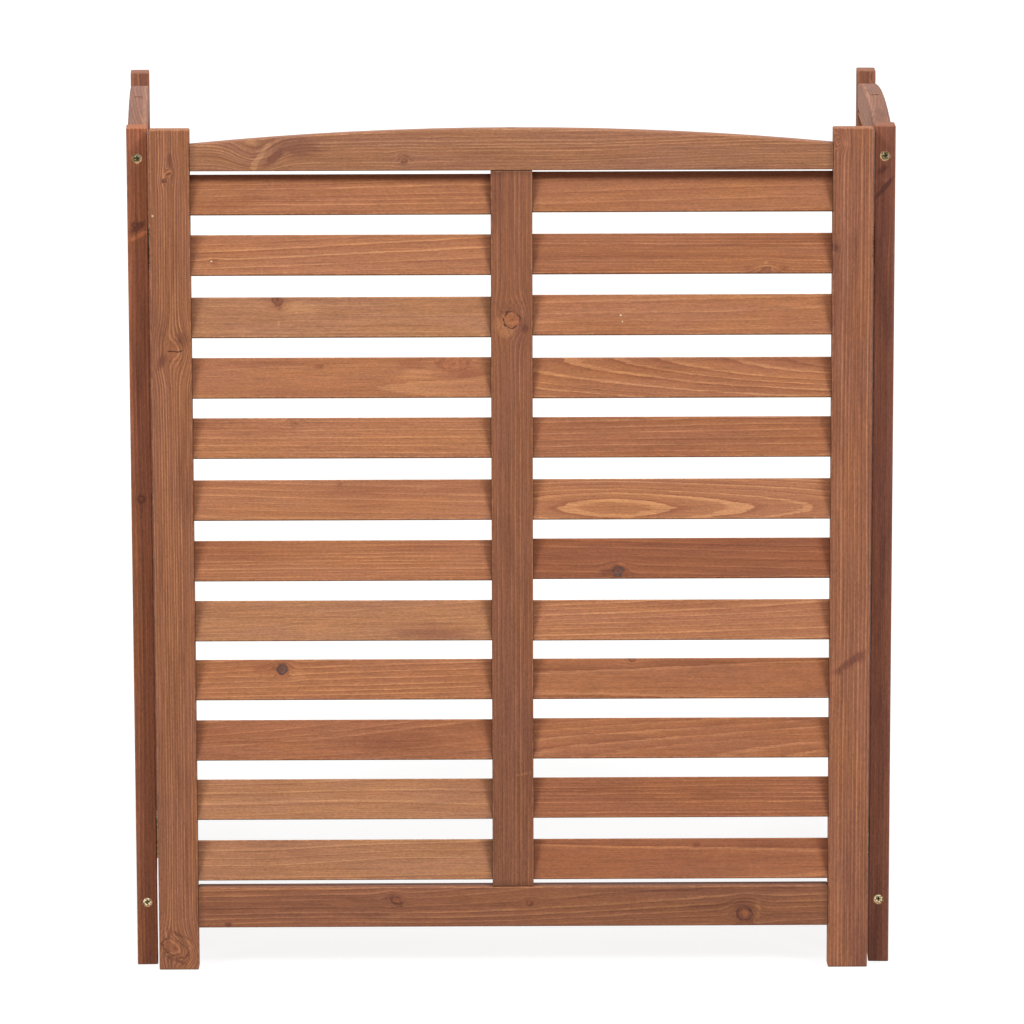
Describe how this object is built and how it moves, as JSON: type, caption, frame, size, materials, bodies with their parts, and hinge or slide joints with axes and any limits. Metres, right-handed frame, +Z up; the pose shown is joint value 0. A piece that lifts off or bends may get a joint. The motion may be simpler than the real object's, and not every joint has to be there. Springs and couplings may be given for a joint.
{
  "type": "air conditioner screen",
  "caption": "Free-standing folding wooden screen with arched, louvred panels hinged at the corners, which hides an outdoor air conditioner and lets air through.",
  "frame": {"origin": "on the ground under the middle of the footprint, wings as in the picture", "axes": "+X to the right of someone who faces the front panel, +Y to the back, where the wings go, +Z up"},
  "size_m": [1.0494, 0.9281, 1.07],
  "materials": {
    "stile_wood": "softwood with a thin red-brown outdoor stain, grain open, satin",
    "rail_wood": "softwood with a thin red-brown outdoor stain, grain open, satin",
    "louvre_wood": "softwood with a thin red-brown outdoor stain, grain open, satin",
    "screw_zinc": "steel with a yellow zinc plating",
    "hinge_zinc": "pressed steel with a yellow zinc plating"
  },
  "bodies": {
    "front_panel": {"front_bottom_rail": "rail_wood", "front_frame_screws": "screw_zinc", "front_left_louvre_01": "louvre_wood", "front_left_louvre_02": "louvre_wood", "front_left_louvre_03": "louvre_wood", "front_left_louvre_04": "louvre_wood", "front_left_louvre_05": "louvre_wood", "front_left_louvre_06": "louvre_wood", "front_left_louvre_07": "louvre_wood", "front_left_louvre_08": "louvre_wood", "front_left_louvre_09": "louvre_wood", "front_left_louvre_10": "louvre_wood", "front_left_louvre_11": "louvre_wood", "front_left_louvre_12": "louvre_wood", "front_left_stile": "stile_wood", "front_mullion": "stile_wood", "front_right_louvre_01": "louvre_wood", "front_right_louvre_02": "louvre_wood", "front_right_louvre_03": "louvre_wood", "front_right_louvre_04": "louvre_wood", "front_right_louvre_05": "louvre_wood", "front_right_louvre_06": "louvre_wood", "front_right_louvre_07": "louvre_wood", "front_right_louvre_08": "louvre_wood", "front_right_louvre_09": "louvre_wood", "front_right_louvre_10": "louvre_wood", "front_right_louvre_11": "louvre_wood", "front_right_louvre_12": "louvre_wood", "front_right_stile": "stile_wood", "front_top_rail": "rail_wood", "left_hinge_front_leaves": "hinge_zinc", "left_hinge_front_screws": "screw_zinc", "left_hinge_pins": "screw_zinc", "right_hinge_front_leaves": "hinge_zinc", "right_hinge_front_screws": "screw_zinc", "right_hinge_pins": "screw_zinc"},
    "left_wing": {"left_hinge_wing_leaves": "hinge_zinc", "left_hinge_wing_screws": "screw_zinc", "left_wing_bottom_rail": "rail_wood", "left_wing_frame_screws": "screw_zinc", "left_wing_front_louvres": "louvre_wood", "left_wing_front_stile": "stile_wood", "left_wing_mullion": "stile_wood", "left_wing_rear_louvres": "louvre_wood", "left_wing_rear_stile": "stile_wood", "left_wing_top_rail": "rail_wood"},
    "right_wing": {"right_hinge_wing_leaves": "hinge_zinc", "right_hinge_wing_screws": "screw_zinc", "right_wing_bottom_rail": "rail_wood", "right_wing_frame_screws": "screw_zinc", "right_wing_front_louvres": "louvre_wood", "right_wing_front_stile": "stile_wood", "right_wing_mullion": "stile_wood", "right_wing_rear_louvres": "louvre_wood", "right_wing_rear_stile": "stile_wood", "right_wing_top_rail": "rail_wood"}
  },
  "joints": [
    {"name": "left_wing_hinge", "type": "hinge", "parent": "front_panel", "child": "left_wing", "pos_m": [-0.44605, -0.43561, 0.535], "axis": [0, 0, 1], "range_deg": [-93.2, 86.8]},
    {"name": "right_wing_hinge", "type": "hinge", "parent": "front_panel", "child": "right_wing", "pos_m": [0.45545, -0.43561, 0.535], "axis": [0, 0, -1], "range_deg": [-6.6, 87.4]}
  ]
}
